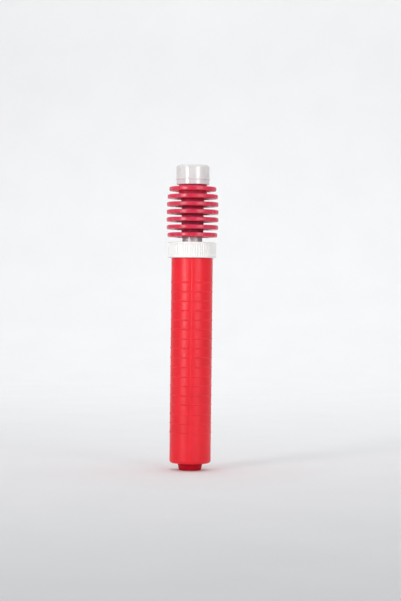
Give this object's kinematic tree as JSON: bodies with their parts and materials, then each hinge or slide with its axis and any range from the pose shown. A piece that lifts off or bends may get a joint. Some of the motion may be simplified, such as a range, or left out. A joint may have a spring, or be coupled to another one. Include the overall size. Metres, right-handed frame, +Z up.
{
  "type": "ball inflation pump",
  "caption": "Slim double-action hand pump for balls: red ribbed barrel, white knurled collar, finned red grip on a steel rod, and a milky cap over a threaded outlet.",
  "frame": {"origin": "centre of the foot's underside, where the closed pump stands", "axes": "+Z up the pump's axis from the foot to the cap, -Y to the front, where the mould seam is seen"},
  "size_m": [0.034, 0.034, 0.199],
  "materials": {
    "barrel_red": "glossy moulded red",
    "foot_red": "glossy moulded dark red",
    "grip_red": "glossy moulded crimson",
    "collar_white": "satin moulded white",
    "cap_natural": "milky translucent",
    "rod_steel": "drawn tube, satin",
    "brass": "machined",
    "steel": "plain",
    "black_rubber": "moulded",
    "guide_plastic": "natural acetal"
  },
  "bodies": {
    "barrel": {"barrel": "barrel_red", "end_plug": "foot_red", "intake_retainer": "guide_plastic", "collar": "collar_white", "gland_bush": "guide_plastic", "mouth_gasket": "black_rubber", "rod_seal": "black_rubber", "seal_washer": "steel"},
    "piston_seals": {"lower_piston_cup": "black_rubber", "upper_piston_cup": "black_rubber"},
    "plunger": {"piston_body": "guide_plastic", "bumper_ring": "black_rubber", "rod_tube": "rod_steel", "port_sleeve": "black_rubber", "spring_stop": "guide_plastic", "delivery_spring": "steel", "grip": "grip_red", "rod_gasket": "black_rubber", "outlet_insert": "brass", "outlet_washer": "black_rubber", "outlet_spring": "steel"},
    "cap": {"cap": "cap_natural"},
    "delivery_ball": {"delivery_ball": "steel"},
    "outlet_ball": {"outlet_ball": "steel"},
    "intake_disc": {"intake_disc": "black_rubber"}
  },
  "joints": [
    {"name": "pump_stroke", "type": "slide", "parent": "barrel", "child": "piston_seals", "axis": [0, 0, 1], "range_m": [0, 0.107]},
    {"name": "plunger_spin", "type": "hinge", "parent": "piston_seals", "child": "plunger", "pos_m": [0, 0, 0.02], "axis": [0, 0, 1], "continuous": true},
    {"name": "cap_pull", "type": "slide", "parent": "plunger", "child": "cap", "axis": [0, 0, 1], "range_m": [0, 0.06]},
    {"name": "delivery_ball_lift", "type": "slide", "parent": "plunger", "child": "delivery_ball", "axis": [0, 0, 1], "range_m": [0, 0.0012], "stiffness_N_per_m": 60, "springref_m": -0.002, "deforming": ["delivery_spring"]},
    {"name": "outlet_ball_lift", "type": "slide", "parent": "plunger", "child": "outlet_ball", "axis": [0, 0, 1], "range_m": [0, 0.0012], "stiffness_N_per_m": 60, "springref_m": -0.002, "deforming": ["outlet_spring"]},
    {"name": "intake_disc_lift", "type": "slide", "parent": "barrel", "child": "intake_disc", "axis": [0, 0, 1], "range_m": [0, 0.0006]}
  ]
}
